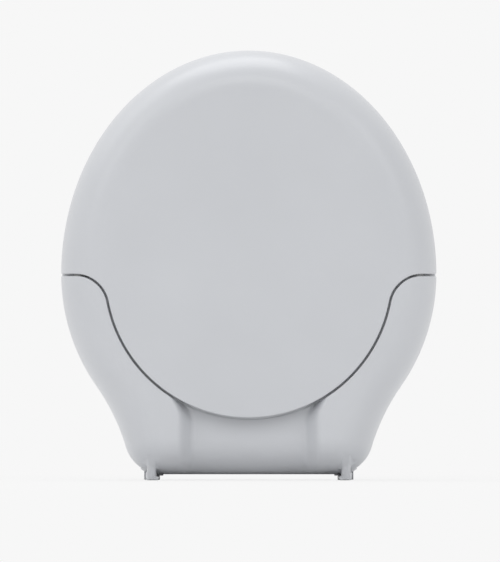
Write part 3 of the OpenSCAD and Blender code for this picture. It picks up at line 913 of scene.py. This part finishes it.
def twisted_strand():
    """Three tubes wound round the route, each closed at both ends."""
    path, at = smooth_route()
    ahead = np.gradient(path, axis=0)
    ahead /= np.linalg.norm(ahead, axis=1)[:, None]
    across = np.c_[-ahead[:, 1], ahead[:, 0]]
    bm = bmesh.new()
    for ply in range(3):
        rings = []
        for (x, z), (nx, nz), s in zip(path, across, at):
            turn = 2 * math.pi * (s / TWIST_PITCH + ply / 3)
            rings.append([bm.verts.new((
                x + nx * (PLY_OFFSET * math.cos(turn) + PLY_R * math.cos(b)),
                PLY_OFFSET * math.sin(turn) + PLY_R * math.sin(b),
                z + nz * (PLY_OFFSET * math.cos(turn) + PLY_R * math.cos(b))))
                for b in np.linspace(0, 2 * math.pi, 8, endpoint=False)])
        skin(bm, rings)
        bm.faces.new(rings[0][::-1])
        bm.faces.new(rings[-1])
    return to_object("floss_thread", bm)


floss_thread = twisted_strand()
dress(floss_thread, "case", "floss_strand")

# %% [markdown]
# Polypropylene mouldings look satin: the mould is lightly blasted, so the surface scatters
# light in a soft sheen with a barely visible grain. One material serves the case, and a paler
# one the inner parts. Every pattern is sized from a real length.

# %% Node helper and colours
def linear(hex_colour):
    """An sRGB hex colour as the linear numbers that shaders use."""
    parts = [int(hex_colour[i:i + 2], 16) / 255 for i in (1, 3, 5)]
    return [c / 12.92 if c <= 0.04045 else ((c + 0.055) / 1.055) ** 2.4 for c in parts] + [1.0]


def add_node(material, kind, settings=None, links=None):
    """Adds a node with its settings and its links; settings are sockets or properties."""
    node = material.node_tree.nodes.new(kind)
    for key, value in (settings or {}).items():
        if isinstance(key, int) or key in node.inputs:
            node.inputs[key].default_value = value
        else:
            setattr(node, key, value)
    for key, source in (links or {}).items():
        material.node_tree.links.new(source, node.inputs[key])
    return node


def new_material(name):
    """An empty material, and the coordinates that move with the piece it is put on."""
    material = bpy.data.materials.new(name)
    material.use_nodes = True
    material.node_tree.nodes.clear()
    return material, add_node(material, "ShaderNodeTexCoord").outputs["Object"]


def show(material, shader):
    """Connects a finished shader to the material's surface."""
    add_node(material, "ShaderNodeOutputMaterial", links={"Surface": shader.outputs[0]})
    return material


def noise(material, where, cell_mm, detail, roughness=0.5):
    """Noise whose cells are this many millimetres across."""
    settings = {"Scale": 1 / (cell_mm * MM), "Detail": detail, "Roughness": roughness}
    return add_node(material, "ShaderNodeTexNoise", settings, {"Vector": where}).outputs["Fac"]


def remap(material, value, *limits):
    """The value moved from its first two limits to the last two."""
    settings = dict(zip(("From Min", "From Max", "To Min", "To Max"), limits))
    return add_node(material, "ShaderNodeMapRange", settings, {"Value": value}).outputs["Result"]


def bump(material, height, strength, height_mm):
    """Normals of a surface with this relief."""
    settings = {"Strength": strength, "Distance": height_mm * MM}
    return add_node(material, "ShaderNodeBump", settings, {"Height": height}).outputs["Normal"]


def give(material, *pieces):
    """Puts the material on pieces, as their only one."""
    for piece in pieces:
        piece.data.materials.clear()
        piece.data.materials.append(material)
    print(material.name, "on", [piece.name for piece in pieces])

# %% [markdown]
# A blasted mould leaves pits of about 0.1 mm. They are drawn 0.25 mm across here, as fine as
# the render can show. A slow cloud 14 mm across stands for the uneven flow of the melt and
# moves both the colour and the sheen by very little.

# %% Moulded polypropylene
FLOW_MM = 14
GRAIN_MM = 0.25


def moulded_polypropylene(name, dark, light, roughness, grain_height_mm):
    """Satin plastic between two close shades, with a fine grain."""
    material, where = new_material(name)
    flow = noise(material, where, FLOW_MM, 2.0)
    grain = noise(material, where, GRAIN_MM, 3.0, 0.6)
    colour = add_node(material, "ShaderNodeMix", {"data_type": "RGBA", 6: linear(dark), 7: linear(light)},
                      {0: flow})
    shader = add_node(material, "ShaderNodeBsdfPrincipled", {"IOR": 1.49},
                      {"Base Color": colour.outputs[2],
                       "Roughness": remap(material, flow, 0, 1, roughness - 0.05, roughness + 0.05),
                       "Normal": bump(material, grain, 0.5, grain_height_mm)})
    return show(material, shader)


grey_polypropylene = moulded_polypropylene("grey_polypropylene_satin", "#C1C3C7", "#C8CACE", 0.32, 0.004)
pale_polypropylene = moulded_polypropylene("pale_polypropylene_satin", "#D8D9D9", "#DFE0DF", 0.34, 0.003)
give(grey_polypropylene, case_body, lid_dome, rear_door)
give(pale_polypropylene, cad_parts["deck"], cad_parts["spool"])

# %% [markdown]
# The cutter is stamped from bright stainless strip, whose rolling leaves fine lines along it, and
# the pins are drawn wire, whose lines run along the pin. Both are the same steel with the
# noise stretched along the working direction.

# %% Stainless steel
LENGTHWISE = (0.04, 1, 1)


def rolled_steel(name, colour, roughness, line_mm):
    """Bright steel with fine lines along x."""
    material, where = new_material(name)
    along = add_node(material, "ShaderNodeMapping", {"Scale": LENGTHWISE}, {"Vector": where})
    lines = noise(material, along.outputs["Vector"], line_mm, 4.0)
    shader = add_node(material, "ShaderNodeBsdfPrincipled", {"Base Color": linear(colour), "Metallic": 1.0},
                      {"Roughness": remap(material, lines, 0.3, 0.7, roughness - 0.06, roughness + 0.08),
                       "Normal": bump(material, lines, 0.3, 0.002)})
    return show(material, shader)


PINS = ("lid_hinge_pin", "cover_hinge_pin_left", "cover_hinge_pin_right")
give(rolled_steel("rolled_stainless_strip", "#C9CACC", 0.26, 0.12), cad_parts["cutter"])
give(rolled_steel("drawn_stainless_wire", "#C2C3C6", 0.3, 0.1), *[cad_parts[pin] for pin in PINS])

# %% [markdown]
# Waxed silk is a warm white multifilament. Fine fibres run along the thread, and the wax gives
# it a soft sheen, so the material has a little sheen and a streaky bump.

# %% Waxed silk
def waxed_silk():
    """Warm white thread with streaky fibres and a little sheen."""
    material, where = new_material("waxed_silk_thread")
    fibres = noise(material, where, 0.12, 4.0)
    colour = add_node(material, "ShaderNodeValToRGB", links={"Fac": fibres})
    for stop, place, shade in zip(colour.color_ramp.elements, (0.3, 0.7), ("#DDD8C6", "#F1EDE0")):
        stop.position, stop.color = place, linear(shade)
    shader = add_node(material, "ShaderNodeBsdfPrincipled",
                      {"Roughness": 0.55, "IOR": 1.54, "Sheen Weight": 0.3, "Sheen Roughness": 0.4},
                      {"Base Color": colour.outputs["Color"], "Normal": bump(material, fibres, 0.6, 0.01)})
    return show(material, shader)


give(waxed_silk(), floss_turns, floss_thread)

# %% [markdown]
# CAD pieces that stay are welded and given small rounded edges, since nothing that is moulded
# or stamped has a sharp one. The pieces made here are shaded smooth up to a clear corner.

# %% Edges and shading
EDGE_MM = {"deck": 0.15, "spool": 0.12, "cutter": 0.04, **{pin: 0.08 for pin in PINS}}
WELD_MM = 0.002
CORNER = math.radians(35)
THREAD_CORNER = math.radians(75)
for name, width in EDGE_MM.items():
    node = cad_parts[name]
    weld = node.modifiers.new("weld", "WELD")
    weld.merge_threshold = WELD_MM * MM
    rounding = node.modifiers.new("rounded edges", "BEVEL")
    rounding.width = width * MM
    rounding.segments = 2
    rounding.limit_method = "ANGLE"
    rounding.angle_limit = CORNER
    rounding.use_clamp_overlap = True
for piece in (case_body, lid_dome, rear_door, floss_turns, floss_thread):
    piece.data.shade_smooth()
    piece.data.set_sharp_from_angle(angle=THREAD_CORNER if piece in (floss_turns, floss_thread) else CORNER)
print("welded and rounded:", list(EDGE_MM))

# %% [markdown]
# The photograph looks level and straight on from far away, so the camera stands 3 m off with a
# long lens. The object then shows hardly any perspective, and its silhouette is its outline.

# %% Camera
VIEW_CENTRE = (0.16, 26.5)
VIEW_HEIGHT = 74.9
DISTANCE = 3.0
camera_data = bpy.data.cameras.new("long_lens")
camera = add_object("camera", camera_data)
camera_data.sensor_fit = "VERTICAL"
camera_data.sensor_height = 24.0
camera_data.lens = camera_data.sensor_height * DISTANCE / (VIEW_HEIGHT * MM)
camera_data.clip_end = 20.0
camera.location = (VIEW_CENTRE[0] * MM, -DISTANCE, VIEW_CENTRE[1] * MM)
camera.rotation_euler = (math.radians(90), 0, 0)
bpy.context.scene.camera = camera
print("lens", round(camera_data.lens, 1), "mm")

# %% [markdown]
# The backdrop is the world itself, a light grey that only the camera and mirror-like surfaces
# see, so it adds no light. The floor is a pale disc that sends light up at the object. To the
# camera it is a thin veil that holds the object's soft shadow, so the rear door, which reaches
# below it when open, isn't hidden. The lamps shine through it.

# %% Floor and backdrop
BACKDROP = "#F7F7F7"
FLOOR_R = 0.2
FADE_FROM = 0.05
VEIL = 0.85
SOFT_LIGHT = 0.72


def mixed(owner, first, second, factor=None):
    """One shader where the factor is 0 and the other where it is 1."""
    links = {1: first.outputs[0], 2: second.outputs[0]}
    return add_node(owner, "ShaderNodeMixShader", links=links if factor is None else {0: factor, **links})


def either(owner, first, second):
    """1 where one of two values is 1."""
    return add_node(owner, "ShaderNodeMath", {"operation": "MAXIMUM"}, {0: first, 1: second}).outputs[0]


def pale_floor():
    """A disc that fades out to its rim, seen as a thin veil and felt as a pale reflector."""
    material, where = new_material("pale_floor")
    ray = add_node(material, "ShaderNodeLightPath")
    away = add_node(material, "ShaderNodeVectorMath", {"operation": "LENGTH"}, {0: where})
    fade = add_node(material, "ShaderNodeMapRange",
                    {"From Min": FADE_FROM, "From Max": FLOOR_R, "interpolation_type": "SMOOTHSTEP"},
                    {"Value": away.outputs["Value"]})
    dull = add_node(material, "ShaderNodeBsdfDiffuse", {"Color": linear("#F0F0F0")})
    matt = add_node(material, "ShaderNodeBsdfDiffuse", {"Color": linear("#E6E6E6")})
    clear = add_node(material, "ShaderNodeBsdfTransparent")
    veil = mixed(material, matt, clear)
    veil.inputs[0].default_value = VEIL
    seen = mixed(material, dull, veil, ray.outputs["Is Camera Ray"])
    gone = either(material, fade.outputs["Result"], ray.outputs["Is Shadow Ray"])
    show(material, mixed(material, seen, clear, gone))
    bm = bmesh.new()
    bmesh.ops.create_circle(bm, cap_ends=True, segments=96, radius=FLOOR_R)
    mesh = bpy.data.meshes.new("floor")
    bm.to_mesh(mesh)
    bm.free()
    mesh.materials.append(material)
    floor = add_object("floor", mesh)


def backdrop():
    """Light grey for what looks at the world, and soft white light for everything else."""
    world = bpy.data.worlds.new("studio")
    bpy.context.scene.world = world
    world.use_nodes = True
    world.node_tree.nodes.clear()
    ray = add_node(world, "ShaderNodeLightPath")
    seen = either(world, ray.outputs["Is Camera Ray"], ray.outputs["Is Glossy Ray"])
    seen = either(world, seen, ray.outputs["Is Transmission Ray"])
    soft = add_node(world, "ShaderNodeBackground", {"Color": linear("#FFFFFF"), "Strength": SOFT_LIGHT})
    pale = add_node(world, "ShaderNodeBackground", {"Color": linear(BACKDROP), "Strength": 1.0})
    add_node(world, "ShaderNodeOutputWorld", links={"Surface": mixed(world, soft, pale, seen).outputs[0]})


pale_floor()
backdrop()
print("floor", 2 * FLOOR_R, "m across, backdrop", BACKDROP)

# %% [markdown]
# A packshot like this one stands in a white tent: most of the light comes evenly from all round
# and up from the floor, which makes the face so even. Soft boxes in front and above it give
# the form a little modelling, stronger on the left, and a large one behind draws the broad
# bright line along the dome.

# %% Lights
def soft_box(name, azimuth, elevation, power, size=0.45):
    """A square soft box aimed at the object; azimuth 0 is the camera's side, 90 the right."""
    data = bpy.data.lights.new(name, "AREA")
    data.size = size
    data.energy = power
    lamp = add_object(name, data)
    ray = Vector((math.sin(azimuth) * math.cos(elevation), -math.cos(azimuth) * math.cos(elevation),
                  math.sin(elevation)))
    lamp.location = AIM + ray * LAMP_DISTANCE
    lamp.rotation_euler = ray.to_track_quat("Z", "Y").to_euler()
    print(name, power, "W")


LAMP_DISTANCE = 0.8
AIM = Vector((0, 0, 0.03))
LAMPS = {"front": (0, 35, 0.95), "front_left": (-50, 32, 0.65), "front_right": (50, 30, 0.5),
         "left": (-110, 45, 0.45), "back": (-165, 71, 2.2, 0.6)}
for name, (azimuth, elevation, *power_and_size) in LAMPS.items():
    soft_box(name, math.radians(azimuth), math.radians(elevation), *power_and_size)
bpy.context.scene.view_settings.view_transform = "Standard"
